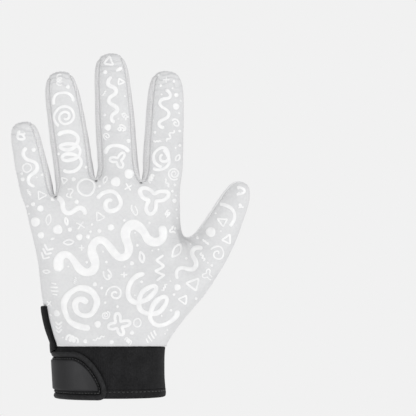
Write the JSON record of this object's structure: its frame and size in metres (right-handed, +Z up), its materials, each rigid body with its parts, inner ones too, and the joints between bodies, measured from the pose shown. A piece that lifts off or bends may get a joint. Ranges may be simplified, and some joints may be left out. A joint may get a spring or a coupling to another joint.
{
  "type": "football receiver glove",
  "caption": "Right-hand receiver glove in its worn shape: tacky patterned palm, plain stretch back, black elastic wristband and wrap-over closure strap with a bare rubber patch.",
  "frame": {"origin": "centre of the wrist opening, at the foot of the wristband", "axes": "+Z up the fingers, -Y out of the palm, +X towards the thumb"},
  "size_m": [0.1586, 0.0512, 0.2306],
  "materials": {
    "printed_palm": "light grey coated synthetic with raised pale strokes",
    "stretch_cloth": "matt white knitted stretch cloth",
    "black_elastic": "matt black ribbed elastic",
    "edging": "matt black woven edging",
    "patch_rubber": "satin dark grey rubber"
  },
  "bodies": {
    "root": {"palm_panel": "printed_palm", "back_panel": "stretch_cloth", "fourchette_little_ring": "stretch_cloth", "fourchette_ring_middle": "stretch_cloth", "fourchette_middle_index": "stretch_cloth", "wrist_gusset": "black_elastic", "wristband": "black_elastic", "hem": "black_elastic", "strap": "black_elastic", "strap_edging": "edging", "strap_patch": "patch_rubber"}
  },
  "joints": []
}
